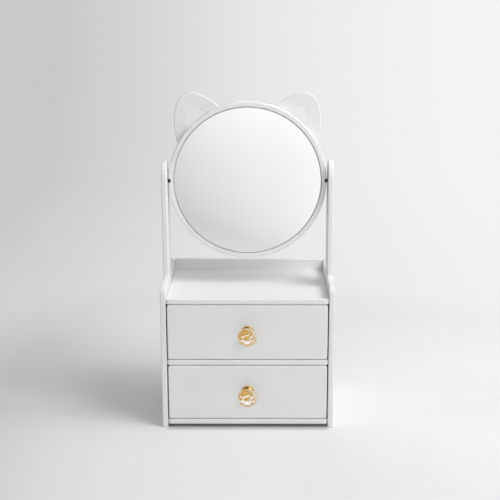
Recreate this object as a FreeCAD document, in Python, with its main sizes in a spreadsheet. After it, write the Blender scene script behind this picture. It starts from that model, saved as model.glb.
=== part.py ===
import FreeCAD, Part
import math
import os
import Sketcher
from FreeCAD import Vector

# Table-top vanity: a white board chest with two drawers, and a round cat-eared mirror
# that tilts between two posts. X runs across the width, Y from front to back, Z up.
# The origin is on the table, under the middle of the whole object's box.

DRIVING_SIZES = {
    # carcass
    "width": 270.0,
    "depth": 190.0,
    "board": 8.5,
    "foot_gap": 5.5,
    "opening": 90.35,
    "rail_height": 18.0,
    "back_panel_thickness": 3.0,
    "edge_round": 1.8,
    "shelf_corner_round": 6.0,
    "rail_corner_round": 4.0,
    "shoulder_round": 10.0,
    "rear_corner_round": 3.0,
    # posts
    "post_front": 63.9,
    "post_width": 46.4,
    "post_top": 414.7,
    "post_foot_round": 6.0,
    # mirror
    "pivot_height": 382.5,
    "pivot_depth": 7.0,
    "disc_radius": 124.5,
    "disc_thickness": 12.0,
    "disc_rim_round": 2.0,
    "recess_radius": 117.0,
    "recess_depth": 4.0,
    "glass_radius": 116.2,
    "glass_thickness": 3.0,
    "glass_bevel": 0.9,
    "tape_thickness": 0.8,
    "tape_width": 25.0,
    "tape_length": 150.0,
    "tape_pitch": 62.0,
    # ears
    "ear_plate_thickness": 5.5,
    "ear_plate_radius": 123.5,
    "ear_edge_round": 1.5,
    "ear_side_radius": 114.5,
    "ear_side_rise": 90.5,
    "ear_side_offset": 0.7,
    "ear_tip_radius": 26.0,
    "ear_tip_height": 137.8,
    "ear_top_radius": 85.0,
    "ear_top_lean": 18.3,
    "ear_root_low": 42.0,
    "ear_root_across": 35.5,
    "ear_plate_bevel": 1.0,
    "window_edge_round": 0.8,
    "cutout_side_radius": 94.5,
    "cutout_tip_radius": 12.0,
    "cutout_tip_height": 115.5,
    "cutout_root_across": 61.0,
    "cutout_inner_radius": 121.0,
    "ear_screw_circle": 105.0,
    "ear_screw_start": 45.0,
    # pivots
    "bolt_radius": 2.0,
    "bolt_head_radius": 4.0,
    "bolt_length": 28.0,
    "bolt_clearance": 0.1,
    "bush_radius": 3.0,
    "bush_bore_radius": 2.1,
    "notch_width": 6.8,
    "notch_depth": 2.9,
    "insert_radius": 2.6,
    "insert_length": 10.0,
    "insert_bore_depth": 16.0,
    # wood screws
    "screw_radius": 1.75,
    "screw_head_radius": 3.5,
    "screw_length": 30.0,
    "screw_front": 32.0,
    "screw_pitch": 120.0,
    "small_screw_radius": 1.4,
    "small_screw_head_radius": 2.8,
    "small_screw_length": 12.0,
    "back_screw_across": 90.0,
    "fit_gap": 0.05,
    # drawers
    "front_side_gap": 1.8,
    "front_edge_gap": 1.0,
    "front_corner_round": 4.0,
    "box_side_gap": 2.4,
    "slide_gap": 0.3,
    "drawer_length": 186.5,
    "drawer_side_height": 70.0,
    "drawer_bottom_thickness": 3.0,
    "groove_depth": 3.5,
    "groove_height": 6.0,
    "groove_width": 3.2,
    "dowel_radius": 2.5,
    "dowel_length": 24.0,
    "dowel_in_front": 5.5,
    "dowel_height": 20.0,
    "dowel_pitch": 38.0,
    "back_joint_height": 20.0,
    "back_joint_pitch": 38.0,
    # knobs
    "knob_reach": 36.0,
    "rosette_radius": 10.75,
    "rosette_rim": 0.9,
    "rosette_height": 6.4,
    "neck_radius": 4.4,
    "cup_start": 8.0,
    "cup_end": 12.4,
    "cup_wall": 0.7,
    "knob_screw_radius": 2.0,
    "knob_screw_clearance": 0.2,
    "knob_screw_head_radius": 4.4,
    "knob_screw_head_height": 2.4,
    "knob_screw_bite": 7.0,
    "crystal_radius": 15.0,
    "crystal_flat": 14.8,
    "crystal_back": 10.6,
    "crystal_back_radius": 6.2,
    "girdle_back": 23.4,
    "girdle_front": 25.0,
    "table_radius": 6.5,
    "break_inner_radius": 11.2,
    "break_depth": 4.4,
}

# Levels and places that many pieces share, as expressions on the sheet.
FRONT = "-(Sizes.depth - Sizes.knob_reach) / 2"
INNER = "(Sizes.width / 2 - Sizes.board)"
STOREY = "(Sizes.board + Sizes.opening)"
BOARD_LEVELS = {
    "bottom_board": "Sizes.foot_gap",
    "middle_shelf": "Sizes.foot_gap + " + STOREY,
    "top_shelf": "Sizes.foot_gap + 2 * " + STOREY,
}
TRAY = "(Sizes.foot_gap + 2 * " + STOREY + " + Sizes.board)"
SHOULDER = "(" + TRAY + " + Sizes.rail_height)"
POST_MIDDLE = "(Sizes.post_front + Sizes.post_width / 2)"
PIVOT = ("0", FRONT + " + " + POST_MIDDLE, "Sizes.pivot_height")
BOX_HALF = "(" + INNER + " - Sizes.box_side_gap)"
FRONT_HALF = "(" + INNER + " - Sizes.front_side_gap)"
DISC_BACK = "(Sizes.disc_thickness - Sizes.pivot_depth)"
NOTCH_FLOOR = "(Sizes.disc_radius - Sizes.notch_depth)"
BOARD_DEPTH = "(Sizes.depth - Sizes.back_panel_thickness)"
RAIL_MIDDLE = ("Sizes.depth - Sizes.board / 2", TRAY + " + Sizes.rail_height / 2")
BOX_INNER = "(" + BOX_HALF + " - Sizes.board)"
SIDE_MIDDLE = "(" + BOX_HALF + " - Sizes.board / 2)"
GROOVE_HALF = "(" + BOX_INNER + " + Sizes.groove_depth)"
GROOVE_LEVEL = "(Sizes.slide_gap + Sizes.groove_height)"
KNOB_BITE = "Sizes.knob_screw_bite"
EAR_SCREW = ("Sizes.ear_screw_circle * cos(Sizes.ear_screw_start * 1deg)",
             "Sizes.ear_screw_circle * sin(Sizes.ear_screw_start * 1deg)")
SCREW_BORE = "Sizes.screw_radius + Sizes.fit_gap"
SCREW_SINK = "Sizes.screw_head_radius + Sizes.fit_gap"
SCREW_BITE = "Sizes.screw_length - Sizes.board + 0.5"
SMALL_BORE = "Sizes.small_screw_radius + Sizes.fit_gap"
EAR_SCREWS = 4
FACETS = 8

TOUCH = 1e-4
ROUGH = 10.0

doc = FreeCAD.newDocument("vanity_mirror")
sheet = doc.addObject("Spreadsheet::Sheet", "Sizes")
for row, (alias, value) in enumerate(DRIVING_SIZES.items(), 1):
    sheet.set("A%d" % row, alias)
    sheet.set("B%d" % row, str(value))
    sheet.setAlias("B%d" % row, alias)
doc.recompute()


# ---- bodies, sketches and features -------------------------------------------------

def new_body(name, place):
    body = doc.addObject("PartDesign::Body", name)
    body.Label = name
    for axis, expression in zip("xyz", place):
        body.setExpression(".Placement.Base." + axis, expression)
    return body


def origin_part(body, role):
    return next(part for part in body.Origin.OriginFeatures if part.Role == role)


def new_sketch(body, plane_role, offset=("0", "0", "0"), turn=None):
    """A sketch on one of the body's own planes, shifted along the plane's own axes."""
    sketch = body.newObject("Sketcher::SketchObject", body.Name + "_sketch")
    sketch.AttachmentSupport = [(origin_part(body, plane_role), "")]
    sketch.MapMode = "FlatFace"
    if turn is not None:
        axis, degrees = turn
        sketch.AttachmentOffset = FreeCAD.Placement(Vector(), FreeCAD.Rotation(axis, degrees))
    for axis, expression in zip("xyz", offset):
        sketch.setExpression(".AttachmentOffset.Base." + axis, expression)
    return sketch


def bind(sketch, kind, parts, name, expression):
    """A named size that starts at the rough value and then follows the expression."""
    if kind == "Radius":
        start = sketch.Geometry[parts[0]].Radius
    else:
        step = sketch.getPoint(*parts[2:]) - sketch.getPoint(*parts[:2])
        start = step.x if kind == "DistanceX" else step.y
    index = sketch.addConstraint(Sketcher.Constraint(kind, *parts, start))
    sketch.renameConstraint(index, name)
    sketch.setExpression("Constraints." + name, expression)


def rectangle(sketch, left, low, wide, high):
    first = sketch.GeometryCount
    corners = [(0, 0), (ROUGH, 0), (ROUGH, ROUGH), (0, ROUGH)]
    for here, there in zip(corners, corners[1:] + corners[:1]):
        sketch.addGeometry(Part.LineSegment(Vector(*here, 0), Vector(*there, 0)), False)
    for side in range(4):
        following = first + (side + 1) % 4
        sketch.addConstraint(Sketcher.Constraint("Coincident", first + side, 2, following, 1))
        direction = "Vertical" if side % 2 else "Horizontal"
        sketch.addConstraint(Sketcher.Constraint(direction, first + side))
    tag = str(first)
    bind(sketch, "DistanceX", (first, 1, first, 2), "wide" + tag, wide)
    bind(sketch, "DistanceY", (first + 1, 1, first + 1, 2), "high" + tag, high)
    bind(sketch, "DistanceX", (-1, 1, first, 1), "left" + tag, left)
    bind(sketch, "DistanceY", (-1, 1, first, 1), "low" + tag, low)


def circle(sketch, across, up, radius):
    middle = Vector(ROUGH * sketch.GeometryCount, ROUGH, 0)
    index = sketch.addGeometry(Part.Circle(middle, Vector(0, 0, 1), 1.0), False)
    tag = str(index)
    bind(sketch, "Radius", (index,), "radius" + tag, radius)
    bind(sketch, "DistanceX", (-1, 1, index, 3), "across" + tag, across)
    bind(sketch, "DistanceY", (-1, 1, index, 3), "up" + tag, up)


def polygon(sketch, corners):
    """A closed outline of straight edges. Each corner is a pair of expressions."""
    count = len(corners)
    rough = [Vector(ROUGH * math.cos(2 * math.pi * n / count),
                    ROUGH * math.sin(2 * math.pi * n / count), 0) for n in range(count)]
    for n in range(count):
        sketch.addGeometry(Part.LineSegment(rough[n], rough[(n + 1) % count]), False)
    for n in range(count):
        sketch.addConstraint(Sketcher.Constraint("Coincident", n, 2, (n + 1) % count, 1))
    for n, (across, up) in enumerate(corners):
        bind(sketch, "DistanceX", (-1, 1, n, 1), "across%d" % n, across)
        bind(sketch, "DistanceY", (-1, 1, n, 1), "up%d" % n, up)


def pad(body, sketch, length, backwards=False):
    feature = body.newObject("PartDesign::Pad", body.Name + "_pad")
    feature.Profile = sketch
    feature.Reversed = backwards
    feature.setExpression("Length", length)
    sketch.Visibility = False
    doc.recompute()
    return feature


def cut_check(body, before):
    doc.recompute()
    if body.Shape.Volume > before - TOUCH:
        raise RuntimeError(body.Label + ": a cut removes nothing")


def pocket(body, sketch, length=None, backwards=False, both_ways=False):
    """A cut of the given depth, or right through when there is no length."""
    before = body.Shape.Volume
    feature = body.newObject("PartDesign::Pocket", body.Name + "_pocket")
    feature.Profile = sketch
    feature.Reversed = backwards
    feature.Midplane = both_ways
    if length is None:
        feature.Type = "ThroughAll"
    else:
        feature.setExpression("Length", length)
    cut_check(body, before)
    return feature


def countersink(body, sketch, radius, head_radius, backwards=False):
    before = body.Shape.Volume
    doc.recompute()
    feature = body.newObject("PartDesign::Hole", body.Name + "_hole")
    feature.Profile = sketch
    doc.recompute()
    feature.HoleCutType = "Countersink"
    feature.DepthType = "ThroughAll"
    feature.HoleCutCountersinkAngle = 90
    feature.Reversed = backwards
    feature.setExpression("Diameter", "2 * (" + radius + ")")
    feature.setExpression("HoleCutDiameter", "2 * (" + head_radius + ")")
    cut_check(body, before)
    return feature


def revolve(body, sketch, axis):
    feature = body.newObject("PartDesign::Revolution", body.Name + "_revolution")
    feature.Profile = sketch
    feature.ReferenceAxis = (sketch, [axis])
    feature.Angle = 360
    doc.recompute()
    return feature


def finish_pattern(body, pattern, feature):
    pattern.Originals = [feature]
    body.Tip = pattern
    doc.recompute()
    return pattern


def mirror(body, feature, plane_role="YZ_Plane"):
    pattern = body.newObject("PartDesign::Mirrored", body.Name + "_mirrored")
    pattern.MirrorPlane = (origin_part(body, plane_role), [""])
    return finish_pattern(body, pattern, feature)


def ring_of(body, feature, axis_role, count):
    pattern = body.newObject("PartDesign::PolarPattern", body.Name + "_polar")
    pattern.Axis = (origin_part(body, axis_role), [""])
    pattern.Angle = 360
    pattern.Occurrences = count
    return finish_pattern(body, pattern, feature)


def row_step(sketch, axis, length, count):
    """One step of a multiple pattern: count copies spread over length."""
    step = doc.addObject("PartDesign::LinearPattern", "row_step")
    step.Direction = (sketch, [axis])
    step.setExpression("Length", length)
    step.Occurrences = count
    return step


def mirror_step(body):
    step = doc.addObject("PartDesign::Mirrored", "mirror_step")
    step.MirrorPlane = (origin_part(body, "YZ_Plane"), [""])
    return step


def repeat(body, feature, steps):
    pattern = body.newObject("PartDesign::MultiTransform", body.Name + "_pattern")
    pattern.Originals = [feature]
    pattern.Transformations = steps
    body.Tip = pattern
    doc.recompute()
    return pattern


def edge_names(shape, wanted):
    whole = shape.BoundBox
    return ["Edge%d" % n for n, edge in enumerate(shape.Edges, 1) if wanted(edge, whole)]


def dress(body, kind, size_name, expression, wanted):
    feature = body.newObject("PartDesign::" + kind, body.Name + "_" + kind.lower())
    base = feature.BaseFeature
    feature.Base = (base, edge_names(base.Shape, wanted))
    feature.setExpression(size_name, expression)
    doc.recompute()
    return feature


def fillet(body, radius, wanted):
    return dress(body, "Fillet", "Radius", radius, wanted)


def chamfer(body, size_expression, wanted):
    return dress(body, "Chamfer", "Size", size_expression, wanted)


def same(one, other):
    return abs(one - other) < TOUCH


def runs_along(edge, axis):
    """True for a straight edge parallel to the axis."""
    box = edge.BoundBox
    lengths = {"x": box.XLength, "y": box.YLength, "z": box.ZLength}
    return lengths.pop(axis) > TOUCH and max(lengths.values()) < TOUCH


def size(alias):
    return float(sheet.get(alias))


# ---- carcass -----------------------------------------------------------------------

def arch(sketch, middle, foot, crown, radius):
    """A straight-sided outline with a half-round top."""
    rough_radius = size("post_width") / 2
    left, right = Vector(0, 0, 0), Vector(2 * rough_radius, 0, 0)
    rise = Vector(0, size("rail_height"), 0)
    centre = Vector(rough_radius, 0, 0) + rise
    sketch.addGeometry(Part.LineSegment(left, right), False)
    sketch.addGeometry(Part.LineSegment(right, right + rise), False)
    full = Part.Circle(centre, Vector(0, 0, 1), rough_radius)
    sketch.addGeometry(Part.ArcOfCircle(full, 0, math.pi), False)
    sketch.addGeometry(Part.LineSegment(left + rise, left), False)
    sketch.addConstraint(Sketcher.Constraint("Coincident", 0, 2, 1, 1))
    sketch.addConstraint(Sketcher.Constraint("Tangent", 1, 2, 2, 1))
    sketch.addConstraint(Sketcher.Constraint("Tangent", 2, 2, 3, 1))
    sketch.addConstraint(Sketcher.Constraint("Coincident", 3, 2, 0, 1))
    sketch.addConstraint(Sketcher.Constraint("Horizontal", 0))
    sketch.addConstraint(Sketcher.Constraint("Vertical", 1))
    sketch.addConstraint(Sketcher.Constraint("Vertical", 3))
    bind(sketch, "Radius", (2,), "crown_radius", radius)
    bind(sketch, "DistanceX", (-1, 1, 2, 3), "crown_across", middle)
    bind(sketch, "DistanceY", (-1, 1, 2, 3), "crown_up", crown + " - " + radius)
    bind(sketch, "DistanceY", (-1, 1, 0, 1), "foot_up", foot)


def board_middle(level):
    return "Sizes.foot_gap + %d * %s + Sizes.board / 2" % (level, STOREY)


def side_panel(name, side):
    """One board: a low chest side with a round-topped mirror post rising out of it."""
    body = new_body(name, ("%d * Sizes.width / 2" % side, FRONT, "0"))
    towards_left = side > 0
    chest_side = new_sketch(body, "YZ_Plane")
    rectangle(chest_side, "0", "0", "Sizes.depth", SHOULDER)
    pad(body, chest_side, "Sizes.board", towards_left)
    post = new_sketch(body, "YZ_Plane")
    arch(post, POST_MIDDLE, TRAY, "Sizes.post_top", "Sizes.post_width / 2")
    pad(body, post, "Sizes.board", towards_left)

    def top_corner(edge):
        return runs_along(edge, "x") and edge.BoundBox.ZMin > TOUCH

    def post_foot(edge, whole):
        from_middle = abs(edge.BoundBox.YMin - size("post_front") - size("post_width") / 2)
        low = edge.BoundBox.ZMin < size("pivot_height")
        return top_corner(edge) and low and same(from_middle, size("post_width") / 2)

    fillet(body, "Sizes.shoulder_round",
           lambda edge, whole: top_corner(edge) and same(edge.BoundBox.YMin, whole.YMin))
    fillet(body, "Sizes.rear_corner_round",
           lambda edge, whole: top_corner(edge) and same(edge.BoundBox.YMax, whole.YMax))
    fillet(body, "Sizes.post_foot_round", post_foot)
    fillet(body, "Sizes.edge_round",
           lambda edge, whole: edge.BoundBox.XLength < TOUCH and edge.BoundBox.ZMax > TOUCH)

    screws = new_sketch(body, "YZ_Plane")
    for level in range(len(BOARD_LEVELS)):
        circle(screws, "Sizes.screw_front", board_middle(level), "1")
        circle(screws, "Sizes.screw_front + Sizes.screw_pitch", board_middle(level), "1")
    circle(screws, RAIL_MIDDLE[0], RAIL_MIDDLE[1], "1")
    countersink(body, screws, SCREW_BORE, SCREW_SINK, not towards_left)
    pivot = new_sketch(body, "YZ_Plane")
    circle(pivot, POST_MIDDLE, "Sizes.pivot_height", "1")
    countersink(body, pivot, "Sizes.bolt_radius + Sizes.bolt_clearance",
                "Sizes.bolt_head_radius + Sizes.bolt_clearance", not towards_left)


def end_bores(body, half_length, places, radius, depth):
    """Blind bores into both ends of a board that runs across the chest."""
    sketch = new_sketch(body, "YZ_Plane", ("0", "0", "-" + half_length))
    for across, up in places:
        circle(sketch, across, up, radius)
    mirror(body, pocket(body, sketch, depth, backwards=True))


def cross_board(name, level):
    """A horizontal board between the side panels, rounded all round before assembly."""
    body = new_body(name, ("0", FRONT, level))
    outline = new_sketch(body, "XY_Plane")
    rectangle(outline, "-" + INNER, "0", "2 * " + INNER, BOARD_DEPTH)
    pad(body, outline, "Sizes.board")
    fillet(body, "Sizes.shelf_corner_round",
           lambda edge, whole: runs_along(edge, "z") and same(edge.BoundBox.YMin, whole.YMin))
    fillet(body, "Sizes.edge_round", lambda edge, whole: edge.BoundBox.ZLength < TOUCH)
    end_bores(body, INNER, (("Sizes.screw_front", "Sizes.board / 2"),
                            ("Sizes.screw_front + Sizes.screw_pitch", "Sizes.board / 2")),
              SCREW_BORE, SCREW_BITE)
    rear = new_sketch(body, "XZ_Plane", ("0", "0", "-" + BOARD_DEPTH))
    for side in (-1, 1):
        circle(rear, "%d * Sizes.back_screw_across" % side, "Sizes.board / 2", SMALL_BORE)
    pocket(body, rear, "Sizes.small_screw_length - Sizes.back_panel_thickness + 0.5", backwards=True)


def back_rail():
    """The low lip that stands on the top shelf, along its rear edge."""
    body = new_body("back_rail", ("0", FRONT, TRAY))
    outline = new_sketch(body, "XZ_Plane", ("0", "0", "-Sizes.depth"))
    rectangle(outline, "-" + INNER, "0", "2 * " + INNER, "Sizes.rail_height")
    pad(body, outline, "Sizes.board")
    fillet(body, "Sizes.rail_corner_round",
           lambda edge, whole: runs_along(edge, "y") and same(edge.BoundBox.ZMax, whole.ZMax))
    fillet(body, "Sizes.edge_round",
           lambda edge, whole: edge.BoundBox.YLength < TOUCH and edge.BoundBox.ZMax > TOUCH)
    end_bores(body, INNER, (("Sizes.depth - Sizes.board / 2", "Sizes.rail_height / 2"),),
              SCREW_BORE, SCREW_BITE)


def back_panel():
    body = new_body("back_panel", ("0", FRONT, "Sizes.foot_gap"))
    outline = new_sketch(body, "XZ_Plane", ("0", "0", "-Sizes.depth"))
    rectangle(outline, "-" + INNER, "0", "2 * " + INNER, TRAY + " - Sizes.foot_gap")
    pad(body, outline, "Sizes.back_panel_thickness")
    screws = new_sketch(body, "XZ_Plane", ("0", "0", "-Sizes.depth"))
    for level in range(len(BOARD_LEVELS)):
        for side in (-1, 1):
            circle(screws, "%d * Sizes.back_screw_across" % side,
                   board_middle(level) + " - Sizes.foot_gap", "1")
    countersink(body, screws, SMALL_BORE, "Sizes.small_screw_head_radius + Sizes.fit_gap", True)


def screw_profile(sketch, radius, head_radius, length, way=""):
    """Half of a countersunk screw's section: its axis is the sketch's own X axis."""
    taper = "(%s - %s)" % (head_radius, radius)
    corners = (("0", "0"), ("0", head_radius), (taper, radius), (length, radius), (length, "0"))
    polygon(sketch, [(way + across, up) for across, up in corners])


def carcass_screws():
    body = new_body("carcass_screws", ("0", FRONT, "0"))
    outer = "-Sizes.width / 2"
    board_screw = new_sketch(body, "XY_Plane", (outer, "Sizes.screw_front", board_middle(0)))
    screw_profile(board_screw, "Sizes.screw_radius", "Sizes.screw_head_radius", "Sizes.screw_length")
    screw = revolve(body, board_screw, "H_Axis")
    levels = len(BOARD_LEVELS)
    repeat(body, screw, [row_step(board_screw, "V_Axis", "Sizes.screw_pitch", 2),
                         row_step(board_screw, "N_Axis", "%d * %s" % (levels - 1, STOREY), levels),
                         mirror_step(body)])
    rail_screw = new_sketch(body, "XY_Plane", (outer,) + RAIL_MIDDLE)
    screw_profile(rail_screw, "Sizes.screw_radius", "Sizes.screw_head_radius", "Sizes.screw_length")
    mirror(body, revolve(body, rail_screw, "H_Axis"))


def back_panel_screws():
    body = new_body("back_panel_screws", ("0", FRONT, "0"))
    profile = new_sketch(body, "YZ_Plane", ("Sizes.depth", board_middle(0), "-Sizes.back_screw_across"))
    screw_profile(profile, "Sizes.small_screw_radius", "Sizes.small_screw_head_radius",
                  "Sizes.small_screw_length", "-")
    screw = revolve(body, profile, "H_Axis")
    levels = len(BOARD_LEVELS)
    repeat(body, screw, [row_step(profile, "V_Axis", "%d * %s" % (levels - 1, STOREY), levels),
                         mirror_step(body)])


# ---- drawers -----------------------------------------------------------------------

def drawer_front(name, place):
    body = new_body(name, place)
    outline = new_sketch(body, "XZ_Plane")
    rectangle(outline, "-" + FRONT_HALF, "Sizes.front_edge_gap", "2 * " + FRONT_HALF,
              "Sizes.opening - 2 * Sizes.front_edge_gap")
    pad(body, outline, "Sizes.board", backwards=True)
    fillet(body, "Sizes.front_corner_round", lambda edge, whole: runs_along(edge, "y"))
    fillet(body, "Sizes.edge_round",
           lambda edge, whole: edge.BoundBox.YLength < TOUCH and same(edge.BoundBox.YMin, whole.YMin))
    knob_bore = new_sketch(body, "XZ_Plane")
    circle(knob_bore, "0", "Sizes.opening / 2", "Sizes.knob_screw_radius + Sizes.knob_screw_clearance")
    pocket(body, knob_bore)
    groove = new_sketch(body, "XZ_Plane", ("0", "0", "-Sizes.board"))
    rectangle(groove, "-" + GROOVE_HALF, GROOVE_LEVEL, "2 * " + GROOVE_HALF, "Sizes.groove_width")
    pocket(body, groove, "Sizes.groove_depth", backwards=True)
    dowels = new_sketch(body, "XZ_Plane", ("0", "0", "-Sizes.board"))
    dowel_circles(dowels, (-1, 1), SIDE_MIDDLE, "Sizes.dowel_radius + Sizes.fit_gap")
    pocket(body, dowels, "Sizes.dowel_in_front", backwards=True)


def dowel_circles(sketch, signs, across, radius):
    for sign in signs:
        for row in range(2):
            circle(sketch, "%d * %s" % (sign, across),
                   "Sizes.dowel_height + %d * Sizes.dowel_pitch" % row, radius)


def drawer_side(name, place, side):
    x, y, z = place
    body = new_body(name, (x + " + %d * %s" % (side, BOX_HALF), y, z))
    towards_left = side > 0
    outline = new_sketch(body, "YZ_Plane")
    rectangle(outline, "Sizes.board", "Sizes.slide_gap", "Sizes.drawer_length - Sizes.board",
              "Sizes.drawer_side_height")
    pad(body, outline, "Sizes.board", towards_left)
    fillet(body, "Sizes.edge_round",
           lambda edge, whole: runs_along(edge, "y") and same(edge.BoundBox.ZMax, whole.ZMax))
    groove = new_sketch(body, "YZ_Plane", ("0", "0", "%d * Sizes.board" % -side))
    rectangle(groove, "0", GROOVE_LEVEL, "2 * Sizes.drawer_length", "Sizes.groove_width")
    pocket(body, groove, "Sizes.groove_depth", backwards=towards_left)
    dowels = new_sketch(body, "XZ_Plane", ("0", "0", "-Sizes.board"))
    dowel_circles(dowels, (-side,), "Sizes.board / 2", "Sizes.dowel_radius + Sizes.fit_gap")
    pocket(body, dowels, "Sizes.dowel_length - Sizes.dowel_in_front")
    joints = new_sketch(body, "YZ_Plane")
    for row in range(2):
        circle(joints, "Sizes.drawer_length - Sizes.board / 2", back_joint(row), "1")
    countersink(body, joints, SCREW_BORE, SCREW_SINK, not towards_left)


def back_joint(row):
    return "Sizes.back_joint_height + %d * Sizes.back_joint_pitch" % row


def drawer_back(name, place):
    body = new_body(name, place)
    outline = new_sketch(body, "XZ_Plane", ("0", "0", "-Sizes.drawer_length"))
    rectangle(outline, "-" + BOX_INNER, "Sizes.slide_gap", "2 * " + BOX_INNER,
              "Sizes.drawer_side_height")
    pad(body, outline, "Sizes.board")
    fillet(body, "Sizes.edge_round",
           lambda edge, whole: runs_along(edge, "x") and same(edge.BoundBox.ZMax, whole.ZMax))
    groove = new_sketch(body, "XZ_Plane", ("0", "0", "Sizes.board - Sizes.drawer_length"))
    rectangle(groove, "-" + BOX_HALF, GROOVE_LEVEL, "2 * " + BOX_HALF, "Sizes.groove_width")
    pocket(body, groove, "Sizes.groove_depth")
    end_bores(body, BOX_INNER, [("Sizes.drawer_length - Sizes.board / 2", back_joint(row))
                                for row in range(2)], SCREW_BORE, SCREW_BITE)


def drawer_bottom(name, place):
    body = new_body(name, place)
    reach = "(Sizes.groove_depth - Sizes.fit_gap)"
    outline = new_sketch(body, "XY_Plane", ("0", "0", GROOVE_LEVEL))
    rectangle(outline, "-(%s + %s)" % (BOX_INNER, reach), "Sizes.board - " + reach,
              "2 * (%s + %s)" % (BOX_INNER, reach),
              "Sizes.drawer_length - 2 * (Sizes.board - %s)" % reach)
    pad(body, outline, "Sizes.drawer_bottom_thickness")


def drawer_dowels(name, place):
    body = new_body(name, place)
    sketch = new_sketch(body, "XZ_Plane", ("0", "0", "Sizes.dowel_in_front - Sizes.board"))
    dowel_circles(sketch, (-1, 1), SIDE_MIDDLE, "Sizes.dowel_radius")
    pad(body, sketch, "Sizes.dowel_length", backwards=True)


def drawer_screws(name, place):
    body = new_body(name, place)
    profile = new_sketch(body, "XY_Plane", ("-" + BOX_HALF, "Sizes.drawer_length - Sizes.board / 2",
                                            back_joint(0)))
    screw_profile(profile, "Sizes.screw_radius", "Sizes.screw_head_radius", "Sizes.screw_length")
    screw = revolve(body, profile, "H_Axis")
    repeat(body, screw, [row_step(profile, "N_Axis", "Sizes.back_joint_pitch", 2), mirror_step(body)])


def drawer(name, level):
    place = ("0", FRONT, level + " + Sizes.board")
    drawer_front(name + "_drawer_front", place)
    drawer_side(name + "_drawer_left_side", place, -1)
    drawer_side(name + "_drawer_right_side", place, 1)
    drawer_back(name + "_drawer_back", place)
    drawer_bottom(name + "_drawer_bottom", place)
    drawer_dowels(name + "_drawer_dowels", place)
    drawer_screws(name + "_drawer_screws", place)
    knob_place = ("0", FRONT, level + " + Sizes.board + Sizes.opening / 2")
    knob_base(name + "_knob_base", knob_place)
    knob_crystal(name + "_knob_crystal", knob_place)
    knob_screw(name + "_knob_screw", knob_place)


# ---- knobs -------------------------------------------------------------------------

def stone_corner(depth):
    """Clear radius round the corners of the stone's back facets, at a depth from the front."""
    slope = ("(Sizes.crystal_radius - Sizes.crystal_back_radius)"
             " / (Sizes.girdle_back - Sizes.crystal_back)")
    flat = "(Sizes.crystal_back_radius + (%s - Sizes.crystal_back) * %s)" % (depth, slope)
    return "(%s / cos(180deg / %d) + Sizes.fit_gap)" % (flat, FACETS)


def knob_base(name, place):
    """A turned collar: domed rosette, waist, and a cup that grips the stone."""
    body = new_body(name, place)
    profile = new_sketch(body, "XY_Plane")
    bore = "Sizes.knob_screw_radius + Sizes.fit_gap"
    polygon(profile, (
        ("0", "-" + KNOB_BITE),
        (bore, "-" + KNOB_BITE),
        (bore, "0"),
        ("Sizes.rosette_radius", "0"),
        ("Sizes.rosette_radius", "-Sizes.rosette_rim"),
        ("Sizes.rosette_radius * 0.8", "-Sizes.rosette_height * 0.72"),
        ("Sizes.neck_radius", "-Sizes.rosette_height"),
        ("Sizes.neck_radius", "-Sizes.cup_start"),
        (stone_corner("Sizes.cup_end") + " + Sizes.cup_wall", "-Sizes.cup_end + Sizes.cup_wall"),
        (stone_corner("Sizes.cup_end") + " + Sizes.cup_wall", "-Sizes.cup_end"),
        (stone_corner("Sizes.cup_end"), "-Sizes.cup_end"),
        (stone_corner("Sizes.crystal_back"), "-Sizes.crystal_back"),
        ("0", "-Sizes.crystal_back"),
    ))
    revolve(body, profile, "V_Axis")

    def dome_edge(edge, whole):
        deep = -edge.BoundBox.YMax
        return size("rosette_rim") - TOUCH < deep < size("rosette_height") - 1

    fillet(body, "Sizes.rosette_radius / 5", dome_edge)


def facet_ring(body, near, far, count, phase):
    """Flat facets round the stone, each through a near and a far (depth, radius)."""
    def on_line(part, share):
        return "((%s) + (%g) * ((%s) - (%s)))" % (near[part], share, far[part], near[part])

    overrun = 0.25
    start = ("-" + on_line(0, -overrun), on_line(1, -overrun))
    end = ("-" + on_line(0, 1 + overrun), on_line(1, 1 + overrun))
    sketch = new_sketch(body, "YZ_Plane", turn=(Vector(1, 0, 0), phase))
    polygon(sketch, (start, end, (start[0], end[1])))
    cut = pocket(body, sketch, "4 * Sizes.crystal_radius", both_ways=True)
    ring_of(body, cut, "Y_Axis", count)


def knob_crystal(name, place):
    """A clear stone cut with a flat table, eight main facets and eight break facets."""
    body = new_body(name, place)
    blank = new_sketch(body, "XZ_Plane", ("0", "0", "Sizes.crystal_back"))
    circle(blank, "0", "0", "Sizes.crystal_radius")
    pad(body, blank, "Sizes.knob_reach - Sizes.crystal_back")
    flat = new_sketch(body, "YZ_Plane")
    rectangle(flat, "-2 * Sizes.knob_reach", "Sizes.crystal_flat", "2 * Sizes.knob_reach",
              "Sizes.crystal_radius")
    ring_of(body, pocket(body, flat, "4 * Sizes.crystal_radius", both_ways=True), "Y_Axis", FACETS)
    facet_ring(body, ("Sizes.knob_reach", "Sizes.table_radius"),
               ("Sizes.girdle_front", "Sizes.crystal_radius"), FACETS, 0)
    facet_ring(body, ("Sizes.knob_reach - Sizes.break_depth", "Sizes.break_inner_radius"),
               ("Sizes.girdle_front", "Sizes.crystal_flat"), FACETS, 180 / FACETS)
    facet_ring(body, ("Sizes.crystal_back", "Sizes.crystal_back_radius"),
               ("Sizes.girdle_back", "Sizes.crystal_radius"), FACETS, 0)


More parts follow.
